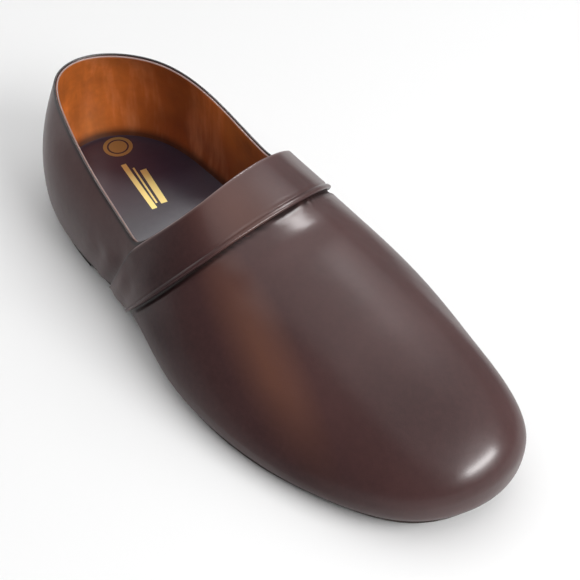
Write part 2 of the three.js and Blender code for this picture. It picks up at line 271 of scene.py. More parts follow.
# Meshes
def make_mesh(name, points, faces, attributes=None):
    """A smooth mesh object from points in millimetres on the last."""
    placed = (np.asarray(points) + LAST_ORIGIN) * MILLIMETRE
    mesh = bpy.data.meshes.new(name)
    mesh.from_pydata(placed.tolist(), [], faces)
    for key, values in (attributes or {}).items():
        layer = mesh.attributes.new(key, "FLOAT", "POINT")
        layer.data.foreach_set("value", np.asarray(values, np.float32))
    mesh.polygons.foreach_set("use_smooth", [True] * len(mesh.polygons))
    mesh.update()
    thing = bpy.data.objects.new(name, mesh)
    bpy.context.scene.collection.objects.link(thing)
    return thing


def grid_faces(rows, columns, closed_rows, closed_columns):
    """Quads over a grid numbered row by row."""
    i, k = np.meshgrid(
        np.arange(rows if closed_rows else rows - 1),
        np.arange(columns if closed_columns else columns - 1),
        indexing="ij",
    )
    j = (i + 1) % rows
    m = (k + 1) % columns
    quads = np.stack([i * columns + k, j * columns + k, j * columns + m, i * columns + m], -1)
    return quads.reshape(-1, 4).tolist()


def line_distance(points, path):
    """Distance of each point from a path, and how far along the path (0 to 1) its nearest place is."""
    flat = points.reshape(-1, 3)
    lengths = np.linalg.norm(np.diff(path, axis=0), axis=1)
    whole = lengths.sum()
    best = np.full(len(flat), 1e9)
    place = np.zeros(len(flat))
    start = 0.0
    for a, b, length in zip(path[:-1], path[1:], lengths):
        t = np.clip((flat - a) @ (b - a) / length ** 2, 0, 1)
        gap = np.linalg.norm(flat - (a + t[:, None] * (b - a)), axis=1)
        closer = gap < best
        best = np.where(closer, gap, best)
        place = np.where(closer, (start + t * length) / whole, place)
        start += length
    return best.reshape(points.shape[:-1]), place.reshape(points.shape[:-1])


def crease(points, path, height, width, ends=0.25):
    """A soft ridge (height above 0) or trough (below 0) along a path, fading out at both ends."""
    gap, place = line_distance(points, path)
    fade = smooth_step(place / ends) * smooth_step((1 - place) / ends)
    return height * fade * np.exp(-(gap / width) ** 2)


# Paths on the last that the creases follow
def edge_path(edge, back, from_u, to_u, count=40, low=CUFF_FOOT):
    """A line on the last where x is back millimetres behind edge(point), for ribs from_u to to_u."""
    u = np.linspace(from_u, to_u, count)

    def measure(v):
        point = last_point(u, v)
        return edge(point) - back - point[..., 0]
    return last_point(u, crossing(measure, np.full(count, low), 2.0, FINE_SCAN_STEPS))


def side_path(back, top_z, low_z, sign, count=16):
    """Down one side of the shoe behind the cuff's rear edge, from height top_z to low_z."""
    z = np.linspace(top_z, low_z, count)
    middle = LATERAL_CORNER if sign < 0 else MEDIAL_CORNER
    u = np.full(count, middle)
    step = -0.01 * sign
    for _ in range(12):
        def measure(v):
            return last_point(u, v)[..., 2] - z
        v = crossing(measure, np.zeros(count), 2.0, FINE_SCAN_STEPS)
        point = last_point(u, v)
        ahead = last_point(u + step, v)
        want = cuff_rear_at(point) - back
        u = u + step * (want - point[..., 0]) / (ahead[..., 0] - point[..., 0])
    return last_point(u, v)


UPPER_CREASES = [
    # path, height, width
    (side_path(1.8, 41.5, 6.0, -1), -1.1, 2.8),
    (side_path(8.5, 36.0, 7.0, -1), 0.7, 3.8),
    (side_path(15.0, 33.0, 9.0, -1), -0.5, 4.2),
    (side_path(22.0, 34.0, 12.0, -1), 0.25, 5.0),
    (side_path(3.0, 36.0, 6.0, 1), -0.6, 2.6),
    (side_path(9.0, 34.0, 8.0, 1), 0.45, 4.0),
    (side_path(17.0, 32.0, 10.0, 1), -0.3, 5.0),
]
CUFF_CREASES = [
    (edge_path(cuff_rear_at, -9.0, LATERAL_CORNER - 0.35, LATERAL_CORNER + 0.7, 14), -0.25, 4.0),
    (side_path(-5.0, 34.0, 8.0, -1), 0.6, 3.0),
    (side_path(-11.0, 34.0, 8.0, -1), -0.4, 3.4),
]
RELIEF_DEPTH = 1.0
TROUGH_DEPTH = 0.9
TROUGH_AHEAD = 0.5
TROUGH_WIDTH = 1.5
SWELL_HEIGHT = 1.5
SWELL_AHEAD = 15.0
SWELL_SIDE = -8.0
SWELL_LENGTH = 7.5
SWELL_WIDTH = 27.0


def creases_at(points, creases):
    total = np.zeros(points.shape[:-1])
    for path, height, width in creases:
        total += crease(points, path, height, width)
    return total


def upper_relief(points):
    """Creases, the trough along the cuff's seam and the swell of the vamp in front of it."""
    total = creases_at(points, UPPER_CREASES)
    ahead = points[..., 0] - cuff_front_at(points)
    total -= TROUGH_DEPTH * np.exp(-((ahead - TROUGH_AHEAD) / TROUGH_WIDTH) ** 2)
    swell = SWELL_HEIGHT * np.exp(-((ahead - SWELL_AHEAD) / SWELL_LENGTH) ** 2)
    total += swell * np.exp(-((points[..., 1] - SWELL_SIDE) / SWELL_WIDTH) ** 4)
    return np.maximum(total, -RELIEF_DEPTH)


# Upper leather and lining: closed walls round the foot, each with a rounded top edge
OUTER_THICKNESS = 1.15
LINING_OFFSET = -1.2
LINING_THICKNESS = 1.0
LINING_DROP = 0.15
TUCK_ROWS = 14
INNER_TUCK = 0.25
# Edge paint along the upper's top edge, and painted shade in the seam ahead of the cuff and at the lining's
# foot over the sock
EDGE_PAINT_WIDTH = 1.3
SEAM_SHADE = 0.85
SEAM_SHADE_AHEAD = 0.3
SEAM_SHADE_WIDTH = 1.6
FOOT_SHADE = 0.85
FOOT_SHADE_HEIGHT = 3.0


def wall_places(fore, heel):
    return np.concatenate([
        np.linspace(LATERAL_CORNER, MEDIAL_CORNER, fore, endpoint=False),
        np.linspace(MEDIAL_CORNER, LATERAL_CORNER + RIB_COUNT, heel, endpoint=False),
    ])


def rise_to(end, t, tuck):
    """Places v from the seam at t = 0, past the widest place at t = tuck, to end at t = 1."""
    return np.where(t < tuck, t / tuck, 1 + (end - 1) * (t - tuck) / (1 - tuck))


def wall_sheet(name, outside, thickness, drop, relief,
               fore=400, heel=190, steps=100, turns=8, inner_steps=14):
    """A leather wall from offset outside inward, its top edge drop millimetres under the cut line."""
    u = wall_places(fore, heel)
    top = top_of_rib(u)
    pace = np.linalg.norm(last_point(u, top) - last_point(u, top - 0.01), axis=-1) / 0.01
    radius = thickness / 2
    end = top - (drop + radius) / pace
    columns_v = []
    columns_d = []
    edge = []
    for k in range(steps + 1):
        columns_v.append(rise_to(end, k / steps, TUCK_ROWS / steps))
        columns_d.append(np.full(len(u), float(outside)))
        edge.append(0.0)
    for k in range(1, turns + 1):
        angle = math.pi * k / turns
        columns_v.append(end + radius * math.sin(angle) / pace)
        columns_d.append(np.full(len(u), outside - radius + radius * math.cos(angle)))
        edge.append(math.sin(angle))
    for k in range(1, inner_steps + 1):
        columns_v.append(rise_to(end, 1 - k / inner_steps, INNER_TUCK))
        columns_d.append(np.full(len(u), outside - thickness))
        edge.append(0.0)
    v = np.stack(columns_v, 1)
    d = np.stack(columns_d, 1)
    uu = np.repeat(u[:, None], v.shape[1], 1)
    edges = np.tile(np.array(edge), (len(u), 1))
    base = last_point(uu, v)
    if relief is None:
        # Painted shade: the lining darkens toward its foot, where it meets the sock
        height = base[..., 2] - seam_height(base[..., 0]) - INSOLE_THICKNESS
        edge_paint_and_shadows = FOOT_SHADE * np.exp(-(np.maximum(height, 0) / FOOT_SHADE_HEIGHT) ** 2)
    else:
        d = d + relief(base)
        # Real edge paint along the upper's top edge
        below_edge = (end[:, None] - v[:, :steps + 1]) * pace[:, None]
        edge_paint_and_shadows = edges.copy()
        edge_paint_and_shadows[:, :steps + 1] = np.exp(-(below_edge / EDGE_PAINT_WIDTH) ** 2)
        # Painted shade: a dark line on the vamp just ahead of the cuff's front edge, where the lip shades
        # it
        ahead = base[..., 0] - cuff_front_at(base)
        seam = SEAM_SHADE * np.exp(-((ahead - SEAM_SHADE_AHEAD) / SEAM_SHADE_WIDTH) ** 2)
        edge_paint_and_shadows = np.maximum(edge_paint_and_shadows, seam)
    points = offset_point(uu, v, d)
    faces = grid_faces(len(u), v.shape[1], True, True)
    attributes = {"edge": edges.ravel(), "edge_paint_and_shadow": edge_paint_and_shadows.ravel()}
    return make_mesh(name, points.reshape(-1, 3), faces, attributes)


# Cuff: a band with a rolled front edge, a pressed line behind it and a rounded rear edge
CUFF_THICKNESS = 1.1
CUFF_LIP = 0.6
CUFF_UNDERSIDE = 0.06
CUFF_THINNING = 0.35
CUFF_PROFILE = [
    # distance behind the front edge, height over the flat of the band
    (1.5, 0.52), (2.0, 0.42), (2.35, 0.32), (2.7, 0.08),
    (3.2, -0.20), (3.6, -0.16), (4.1, 0.0), (4.8, 0.05),
]


def cuff_section():
    """(share of the band's width from its front edge, height over the leather under it) round the band."""
    low = CUFF_UNDERSIDE
    flat = CLEARANCE + CUFF_THICKNESS
    roll = (flat + CUFF_LIP - low) / 2
    section = []
    for k in range(9):
        angle = math.pi * (k / 8 - 0.5)
        section.append((roll - roll * math.cos(angle), low + roll + roll * math.sin(angle)))
    section += [(s, flat + lift) for s, lift in CUFF_PROFILE]
    section += [(s, flat) for s in np.linspace(5.6, CUFF_WIDTH - 1.2, 22)]
    rear = (flat - low) / 2
    for k in range(1, 8):
        angle = math.pi * (0.5 - k / 7)
        section.append((CUFF_WIDTH - rear + rear * math.cos(angle), low + rear + rear * math.sin(angle)))
    section += [(s, low) for s in (CUFF_WIDTH * 0.75, CUFF_WIDTH * 0.5, CUFF_WIDTH * 0.25)]
    return [(s / CUFF_WIDTH, d) for s, d in section]


def band_line(across, steps, samples=420):
    """Places (u, v), evenly spaced, on the line a share of the way from the cuff's front to its rear."""
    def behind(point):
        return mix(cuff_front_at(point), cuff_rear_at(point), across) - point[..., 0]
    foot = np.array([CUFF_FOOT])
    lateral = float(crossing(lambda u: -behind(last_point(u, foot)), np.array([1.0]), 10.0)[0])
    medial = float(crossing(lambda u: behind(last_point(u, foot)), np.array([10.0]), 19.0)[0])
    u = np.linspace(lateral, medial, samples + 1)

    def line_v(places):
        low = np.full(len(places), CUFF_FOOT)
        v = crossing(lambda t: behind(last_point(places, t)), low, 2.0, FINE_SCAN_STEPS)
        v[0] = CUFF_FOOT
        v[-1] = CUFF_FOOT
        return v
    points = last_point(u, line_v(u))
    run = np.concatenate([[0], np.cumsum(np.linalg.norm(np.diff(points, axis=0), axis=1))])
    places = np.interp(np.linspace(0, run[-1], steps + 1), run, u)
    return places, line_v(places)


def cuff_band(name, steps=260):
    section = cuff_section()
    rows = []
    for across, height in section:
        u, v = band_line(across, steps)
        base = last_point(u, v)
        lift = creases_at(base, CUFF_CREASES) if height > 0.5 else 0.0
        below = COLLAR_LOW - base[..., 2]
        thinned = CUFF_THINNING * smooth_step(below / 5.0) * smooth_step((across - 0.55) / 0.45)
        rows.append(offset_point(u, v, height - thinned * max(height - CUFF_UNDERSIDE, 0) + lift))
    grid = np.stack(rows, 1)
    count = len(section)
    faces = grid_faces(steps + 1, count, False, True)
    first = list(range(count))
    last = [steps * count + k for k in range(count)]
    faces += [first, last[::-1]]
    across = np.array([s for s, _ in section])
    # Above the collar the turned rear edge is lighter: partly its own tone, partly a painted highlight
    turned = smooth_step((across * CUFF_WIDTH - CUFF_WIDTH + 1.4) / 0.8)
    above = smooth_step((grid[..., 2] - COLLAR_LOW) / 6.0)
    height = np.array([d for _, d in section])
    # Painted shade: the lower half of the rolled front edge over the seam, and the rear edge below the
    # collar, which lies in shade
    front = (across < 0.06) * (1 - smooth_step((height - 0.7) / 0.5))
    edge_paint_and_shadow = np.maximum(front[None, :], 0.8 * turned * (1 - above)).ravel()
    attributes = {"edge": (turned * above).ravel(), "edge_paint_and_shadow": edge_paint_and_shadow}
    return make_mesh(name, grid.reshape(-1, 3), faces, attributes)


# Plates: loops stacked upward, closed below and above by strips that run across
def plate(name, loops, low_face, high_face, across=40):
    points = list(np.concatenate(loops))
    count = len(loops[0])
    half = count // 2
    faces = grid_faces(len(loops), count, False, True)
    faces = [[f[0], f[3], f[2], f[1]] for f in faces]

    def face(loop, ring, height):
        strips = []
        for i in range(half + 1):
            other = (count - i) % count
            strip = []
            for j in range(across + 1):
                if j == 0 or i in (0, half):
                    strip.append(ring + i)
                elif j == across:
                    strip.append(ring + other)
                else:
                    point = mix(loop[i], loop[other], j / across)
                    point[2] = height(point[0], point[1], min(j, across - j) / across, i / half)
                    points.append(point)
                    strip.append(len(points) - 1)
            strips.append(strip)
        return strips
    low = face(loops[0], 0, low_face)
    high = face(loops[-1], (len(loops) - 1) * count, high_face)
    for i in range(half):
        for j in range(across):
            for strips, turn in ((high, 1), (low, -1)):
                quad = [strips[i][j], strips[i + 1][j], strips[i + 1][j + 1], strips[i][j + 1]]
                quad = list(dict.fromkeys(quad))
                if len(quad) > 2:
                    faces.append(quad[::turn])
    return make_mesh(name, np.array(points), faces)


def rounded_edge(low, high, radius, turns=4):
    """(inset, height) pairs from the low face's rim to the high face's, with rounded corners."""
    pairs = []
    for k in range(turns + 1):
        angle = math.pi / 2 * (1 - k / turns)
        pairs.append((radius - radius * math.cos(angle), low + radius - radius * math.sin(angle)))
    for k in range(turns + 1):
        angle = math.pi / 2 * k / turns
        pairs.append((radius - radius * math.cos(angle), high - radius + radius * math.sin(angle)))
    return pairs


STATIONS = 220
loop_places = np.arange(2 * STATIONS) * RIB_COUNT / (2 * STATIONS)


def outsole(name):
    def top(x):
        return seam_height(x) - CLEARANCE
    loops = []
    for inset, height in rounded_edge(-SOLE_THICKNESS, 0.0, SOLE_ROUND):
        loop = footprint_point(loop_places, SOLE_REACH - inset)
        loop[:, 2] = top(loop[:, 0]) + height
        loops.append(loop)
    return plate(
        name, loops,
        lambda x, y, j, i: top(x) - SOLE_THICKNESS,
        lambda x, y, j, i: top(x),
    )


def inset_loop(loop, distance):
    """A level loop moved inward."""
    along = np.roll(loop, -1, 0) - np.roll(loop, 1, 0)
    out = np.stack([along[:, 1], -along[:, 0]], -1)
    out /= np.linalg.norm(out, axis=1, keepdims=True)
    moved = loop.copy()
    centre = loop[:, :2].mean(0)
    facing = np.sign(((loop[:, :2] - centre) * out).sum(1).sum())
    moved[:, :2] -= facing * out * distance
    return moved


def heel_lift(name):
    reach = SOLE_REACH - LIFT_INSET

    def edge_x(u):
        return footprint_point(u, reach)[..., 0]
    lateral = float(crossing(lambda u: edge_x(u) - LIFT_LENGTH, np.array([0.0]), 10.0)[0])
    medial = float(crossing(lambda u: LIFT_LENGTH - edge_x(u), np.array([10.0]), 20.0)[0])
    side_a = footprint_point(np.linspace(0, lateral, 90, endpoint=False), reach)
    side_b = footprint_point(np.linspace(medial, RIB_COUNT, 91)[1:-1], reach)
    start = footprint_point(np.array([lateral]), reach)[0]
    end = footprint_point(np.array([medial]), reach)[0]
    t = np.linspace(0, 1, 41)[:, None]
    breast = mix(start, end, t)
    breast[:, 0] -= (BREAST_HOLLOW * 4 * t * (1 - t))[:, 0]
    outline = np.concatenate([side_a, breast, side_b])
    loops = []
    for inset, height in rounded_edge(0.0, LIFT_HEIGHT, LIFT_ROUND):
        loop = inset_loop(outline, inset)
        loop[:, 2] = height
        loops.append(loop)
    return plate(name, loops, lambda x, y, j, i: 0.0, lambda x, y, j, i: LIFT_HEIGHT, 30)


RIM_INSETS = (0.05, 1.2)


def insole(name):
    wall_face = -(WALL + CLEARANCE)

    def on_wall(height):
        def measure(v):
            point = offset_point(loop_places, v, wall_face)
            return point[..., 2] - (seam_height(point[..., 0]) + height)
        v = crossing(measure, np.zeros(len(loop_places)), 2.0)
        return offset_point(loop_places, v, wall_face)
    under = footprint_point(loop_places, -CLEARANCE)
    lap = under.copy()
    lap[:, 2] += WALL + 2 * CLEARANCE
    rim = on_wall(INSOLE_THICKNESS)
    loops = [under, lap, on_wall(INSOLE_THICKNESS * 0.8), rim]
    for inward in RIM_INSETS:
        loop = inset_loop(rim, inward)
        loop[:, 2] = insole_top(loop[:, 0], loop[:, 1])
        loops.append(loop)
    return plate(
        name, loops,
        lambda x, y, j, i: seam_height(x),
        lambda x, y, j, i: insole_top(x, y),
        60,
    )


# The sock has taken a shallow print of the foot: a heel cup and the ball
PRINTS = [
    # along, side, half length, half width, depth
    (42.0, -4.0, 26.0, 20.0, 0.5),
    (196.0, -14.0, 24.0, 34.0, 0.35),
]


def insole_top(x, y):
    height = seam_height(x) + INSOLE_THICKNESS
    for along, side, long_half, wide_half, depth in PRINTS:
        height = height - depth * np.exp(-((x - along) / long_half) ** 2 - ((y - side) / wide_half) ** 2)
    return height


# Plain gold foil on the sock: a disc with a ring, and three bars
FOIL_LIFT = 0.05
DISC_CENTRE = (16.4, 10.8)
DISC_RADIUS = 7.2
DISC_SHARE = 0.62
RING_SHARE = 0.74
BARS = [
    # from along, from side, to along, to side, breadth
    (28.5, 5.0, 63.0, -2.5, 2.6),
    (37.5, 10.0, 62.7, 3.4, 3.2),
    (33.5, 7.2, 60.5, 0.6, 0.9),
]


def foil_ring(name, inner, outer, count=72, rings=5):
    angle = np.arange(count) * 2 * math.pi / count
    radius = np.linspace(inner, outer, rings)
    x = DISC_CENTRE[0] + radius[None, :] * np.cos(angle)[:, None]
    y = DISC_CENTRE[1] + radius[None, :] * np.sin(angle)[:, None]
    points = np.stack([x, y, insole_top(x, y) + FOIL_LIFT], -1)
    faces = [f[::-1] for f in grid_faces(count, rings, True, False)]
    return make_mesh(name, points.reshape(-1, 3), faces)


def foil_bars(name, steps=24):
    points = []
    faces = []
    for ax, ay, bx, by, breadth in BARS:
        a = np.array([ax, ay])
        b = np.array([bx, by])
        side = np.array([-(b - a)[1], (b - a)[0]]) / np.linalg.norm(b - a) * breadth / 2
        t = np.linspace(0, 1, steps + 1)[:, None, None]
        w = np.array([-1.0, 0.0, 1.0])[None, :, None]
        level = mix(a, b, t) + w * side
        height = insole_top(level[..., 0], level[..., 1]) + FOIL_LIFT
        start = len(points)
        points += list(np.concatenate([level, height[..., None]], -1).reshape(-1, 3))
        faces += [[start + n for n in f] for f in grid_faces(steps + 1, 3, False, False)]
    return make_mesh(name, np.array(points), faces)


# Materials
def new_material(name):
    material = bpy.data.materials.new(name)
    material.use_nodes = True
    tree = material.node_tree
    return material, tree, tree.nodes["Principled BSDF"]


def add(tree, kind, **settings):
    node = tree.nodes.new(kind)
    for key, value in settings.items():
        setattr(node, key, value)
    return node


def link(tree, a, b):
    tree.links.new(a, b)


def ramp(tree, source, stops):
    node = add(tree, "ShaderNodeValToRGB")
    while len(node.color_ramp.elements) > 1:
        node.color_ramp.elements.remove(node.color_ramp.elements[-1])
    node.color_ramp.elements[0].position = stops[0][0]
    node.color_ramp.elements[0].color = stops[0][1]
    for position, color in stops[1:]:
        node.color_ramp.elements.new(position).color = color
    link(tree, source, node.inputs["Fac"])
    return node.outputs["Color"]


def grey(value):
    return (value, value, value, 1.0)


def scaled(color, factor):
    return tuple(factor * c for c in color[:3]) + (1.0,)


def noise(tree, coordinates, scale, detail=3.0, roughness=0.5):
    node = add(tree, "ShaderNodeTexNoise")
    node.inputs["Scale"].default_value = scale
    node.inputs["Detail"].default_value = detail
    node.inputs["Roughness"].default_value = roughness
    link(tree, coordinates, node.inputs["Vector"])
    return node.outputs["Fac"]


def maths(tree, operation, a, b=None):
    node = add(tree, "ShaderNodeMath", operation=operation)
    for socket, value in zip(node.inputs, (a, b)):
        if value is None:
            continue
        if isinstance(value, (int, float)):
            socket.default_value = value
        else:
            link(tree, value, socket)
    return node.outputs[0]


def ramped(tree, source, stops, amount):
    """An amount that follows source by (place, share) stops."""
    greys = [(at, grey(share)) for at, share in stops]
    return maths(tree, "MULTIPLY", ramp(tree, source, greys), amount)


def mix_color(tree, factor, a, b):
    node = add(tree, "ShaderNodeMix", data_type="RGBA")
    for socket, value in ((node.inputs["Factor"], factor), (node.inputs[6], a), (node.inputs[7], b)):
        if isinstance(value, (int, float, tuple)):
            socket.default_value = value
        else:
            link(tree, value, socket)
    return node.outputs[2]


def bump(tree, height, strength, distance, normal=None):
    node = add(tree, "ShaderNodeBump")
    node.inputs["Strength"].default_value = strength
    node.inputs["Distance"].default_value = distance
    link(tree, height, node.inputs["Height"])
    if normal is not None:
        link(tree, normal, node.inputs["Normal"])
    return node.outputs["Normal"]


def blob(tree, coordinates, centre, turn, size):
    """A soft patch, 1 at centre and 0 at size (half extents in metres), turned by degrees."""
    mapping = add(tree, "ShaderNodeMapping", vector_type="TEXTURE")
    mapping.inputs["Location"].default_value = centre
    mapping.inputs["Rotation"].default_value = [math.radians(angle) for angle in turn]
    mapping.inputs["Scale"].default_value = size
    link(tree, coordinates, mapping.inputs["Vector"])
    gradient = add(tree, "ShaderNodeTexGradient", gradient_type="SPHERICAL")
    link(tree, mapping.outputs["Vector"], gradient.inputs["Vector"])
    return gradient.outputs["Fac"]


# Near-black: real edge paint, also laid on as painted shade in seams, under lips and at the lining's foot
EDGE_PAINT_AND_SHADOW = (0.010, 0.006, 0.006, 1.0)
# Painted shade, laid on the leather where it faces away from the lamps
PAINTED_SHADE = (0.026, 0.012, 0.013, 1.0)
DARK = (0.060, 0.024, 0.023, 1.0)
# Warm brown: painted light as a glow on the vamp's lateral side, and a reddish tone in the middle of the
# cuff
WARM = (0.180, 0.068, 0.036, 1.0)
# Bright tan: painted light on the lit parts of the lining, and the colour of its streaks
BRIGHT_TAN = (1.0, 0.275, 0.048, 1.0)
LINING_TAN = (0.25, 0.058, 0.016, 1.0)
PALE_STREAK = (1.0, 0.42, 0.20, 1.0)
# The cuff's turned rear edge: its own lighter tone, strengthened as a painted highlight
CUFF_EDGE = (0.20, 0.135, 0.13, 1.0)
LINING_EDGE = (0.27, 0.205, 0.20, 1.0)
SOCK = (0.018, 0.012, 0.026, 1.0)
# Painted reflection: the blue-grey sheen on the front of the sock
SOCK_PAINTED_SHEEN = (0.085, 0.080, 0.098, 1.0)
SOLE = (0.030, 0.017, 0.014, 1.0)
RUBBER = (0.016, 0.013, 0.012, 1.0)
# Painted shade: a darker copy of the gold foil, for the disc
SHADED_GOLD = (0.42, 0.32, 0.13, 1.0)
GOLD = (0.74, 0.60, 0.24, 1.0)

# How much a patch of painted shade also dulls the gloss
DULLING = 0.8


def leather(name, dark, patches, roughness, coat, coat_roughness, grain=0.25,
            edge_color=None, streaks=0.0, streak_color=None, specular=0.2, shaded=False):
    """Leather of color dark with soft patches, most of them painted light or painted shade, specks, grain
    and a clear coat.
    """
    material, tree, shader = new_material(name)
    coordinates = add(tree, "ShaderNodeTexCoord").outputs["Object"]
    cloud = noise(tree, coordinates, 26.0, 4.0, 0.55)
    fine = noise(tree, coordinates, 420.0, 3.0, 0.6)
    mottled = ramp(tree, cloud, [(0.30, grey(0.0)), (0.72, grey(1.0))])
    base = mix_color(tree, mottled, scaled(dark, 0.86), scaled(dark, 1.16))
    gloss = None
    for centre, turn, size, amount, color in patches:
        strength = maths(tree, "MULTIPLY", blob(tree, coordinates, centre, turn, size), amount)
        base = mix_color(tree, strength, base, color)
        if color == PAINTED_SHADE:
            kept = maths(tree, "SUBTRACT", 1.0, maths(tree, "MULTIPLY", strength, DULLING))
            gloss = kept if gloss is None else maths(tree, "MULTIPLY", gloss, kept)
    specks = ramped(tree, fine, [(0.35, 0.0), (0.75, 1.0)], 0.18)
    base = mix_color(tree, specks, base, scaled(dark, 1.5))
    if streaks:
        stretch = add(tree, "ShaderNodeMapping")
        stretch.inputs["Scale"].default_value = (1.0, 1.0, 0.16)
        link(tree, coordinates, stretch.inputs["Vector"])
        upright = noise(tree, stretch.outputs["Vector"], 75.0, 4.0, 0.6)
        streak = ramped(tree, upright, [(0.42, 0.0), (0.68, 1.0)], streaks)
        base = mix_color(tree, streak, base, streak_color)
        pale = ramped(tree, upright, [(0.30, 1.0), (0.48, 0.0)], streaks * 0.5)
        base = mix_color(tree, pale, base, PALE_STREAK)
        blotch = ramped(tree, cloud, [(0.45, 0.0), (0.66, 1.0)], streaks * 0.8)
        base = mix_color(tree, blotch, base, scaled(dark, 0.55))
    if edge_color is not None:
        edge = add(tree, "ShaderNodeAttribute", attribute_name="edge").outputs["Fac"]
        base = mix_color(tree, edge, base, edge_color)
    if shaded:
        # Edge paint and painted shade, from the attribute each mesh carries
        edge_paint_and_shadow = add(tree, "ShaderNodeAttribute", attribute_name="edge_paint_and_shadow").outputs["Fac"]
        base = mix_color(tree, edge_paint_and_shadow, base, EDGE_PAINT_AND_SHADOW)
    link(tree, base, shader.inputs["Base Color"])
    spread = maths(tree, "MULTIPLY", maths(tree, "SUBTRACT", cloud, 0.5), 0.14)
    link(tree, maths(tree, "ADD", spread, roughness), shader.inputs["Roughness"])
    for socket, value in (("Specular IOR Level", specular), ("Coat Weight", coat)):
        if gloss is None:
            shader.inputs[socket].default_value = value
        else:
            link(tree, maths(tree, "MULTIPLY", gloss, value), shader.inputs[socket])
    shader.inputs["Coat Roughness"].default_value = coat_roughness
    cells = add(tree, "ShaderNodeTexVoronoi", feature="DISTANCE_TO_EDGE")
    cells.inputs["Scale"].default_value = 950.0
    link(tree, coordinates, cells.inputs["Vector"])
    pores = ramp(tree, cells.outputs["Distance"], [(0.0, grey(0.0)), (0.16, grey(1.0))])
    slack = noise(tree, coordinates, 60.0, 2.0, 0.5)
    normal = bump(tree, slack, 0.35, 0.0012)
    normal = bump(tree, fine, grain * 0.6, 0.00025, normal)
    normal = bump(tree, pores, grain * 0.5, 0.00008, normal)
    link(tree, normal, shader.inputs["Normal"])
    return material


def on_shoe(x, y, z):
    """A place in millimetres on the last, in the object's metres."""
    return tuple((np.array([x, y, z]) + LAST_ORIGIN) * MILLIMETRE)


LEVEL = (0.0, 0.0, 0.0)
OUTER_FINISH = {"roughness": 0.44, "coat": 0.42, "coat_roughness": 0.24, "specular": 0.22, "shaded": True}
# Painted light: a warm glow on the lateral side of the vamp. Painted shade: the lower lateral side, the
# lateral quarter, the medial rim and the toe
vamp_patches = [
    # centre, turn, size, amount, color
    (on_shoe(190, -43.5, 41), (36.6, 25.2, -11.9), (0.064, 0.016, 0.030), 0.62, WARM),
    (on_shoe(138, -58, 26), LEVEL, (0.080, 0.036, 0.040), 1.0, PAINTED_SHADE),
    (on_shoe(225, -55, 14), LEVEL, (0.080, 0.036, 0.024), 0.8, PAINTED_SHADE),
    (on_shoe(55, -48, 30), LEVEL, (0.050, 0.020, 0.040), 0.5, PAINTED_SHADE),
    (on_shoe(215, 38, 32), LEVEL, (0.095, 0.018, 0.030), 0.9, PAINTED_SHADE),
    (on_shoe(258, -10, 42), LEVEL, (0.045, 0.045, 0.030), 0.55, PAINTED_SHADE),
]
upper_leather = leather("upper_leather", DARK, vamp_patches, **OUTER_FINISH)
# A reddish tone in the middle of the cuff, and painted shade on its lateral side
cuff_patches = [
    (on_shoe(140, -18, 70), LEVEL, (0.05, 0.022, 0.03), 0.3, WARM),
    (on_shoe(128, -50, 44), LEVEL, (0.050, 0.032, 0.045), 1.0, PAINTED_SHADE),
]
cuff_leather = leather("cuff_leather", DARK, cuff_patches, edge_color=CUFF_EDGE, **OUTER_FINISH)
# Painted light: brighter tan where the lamps light the lining's heel and the top of its medial side
lining_patches = [
    (on_shoe(3, 0, 38), LEVEL, (0.050, 0.044, 0.056), 1.0, BRIGHT_TAN),
    (on_shoe(20, -30, 40), LEVEL, (0.060, 0.050, 0.050), 0.7, BRIGHT_TAN),
    (on_shoe(60, 34, 56), LEVEL, (0.080, 0.036, 0.034), 0.45, BRIGHT_TAN),
    (on_shoe(88, 34, 46), LEVEL, (0.050, 0.036, 0.030), 0.5, BRIGHT_TAN),
]
lining_leather = leather(
    "lining_leather", LINING_TAN, lining_patches, 0.38, 0.18, 0.22, grain=0.2,
    edge_color=LINING_EDGE, streaks=0.6, streak_color=scaled(BRIGHT_TAN, 0.42), shaded=True,
)
# Painted reflection: a blue-grey sheen laid on the front of the sock
sock_patches = [(on_shoe(100, -6, 10), LEVEL, (0.060, 0.060, 0.030), 1.0, SOCK_PAINTED_SHEEN)]
insole_leather = leather("insole_leather", SOCK, sock_patches, 0.34, 0.8, 0.22, specular=0.4)
sole_leather = leather("sole_leather", SOLE, [], 0.55, 0.0, 0.3)
heel_rubber = leather("heel_rubber", RUBBER, [], 0.65, 0.0, 0.3)


def foil(name, color):
    material, tree, shader = new_material(name)
    shader.inputs["Base Color"].default_value = color
    shader.inputs["Metallic"].default_value = 0.85
    shader.inputs["Roughness"].default_value = 0.38
    grain = noise(tree, add(tree, "ShaderNodeTexCoord").outputs["Object"], 900.0)
    link(tree, bump(tree, grain, 0.3, 0.0002), shader.inputs["Normal"])
    return material


# The disc's foil is the gold foil darkened as painted shade
shaded_gold = foil("shaded_gold_foil", SHADED_GOLD)
gold = foil("gold_foil", GOLD)


# Pieces
def place(thing, material, slot, *nodes):
    thing.data.materials.append(material)
    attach(thing, "root")
    if nodes:
        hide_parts(*nodes)
    return thing


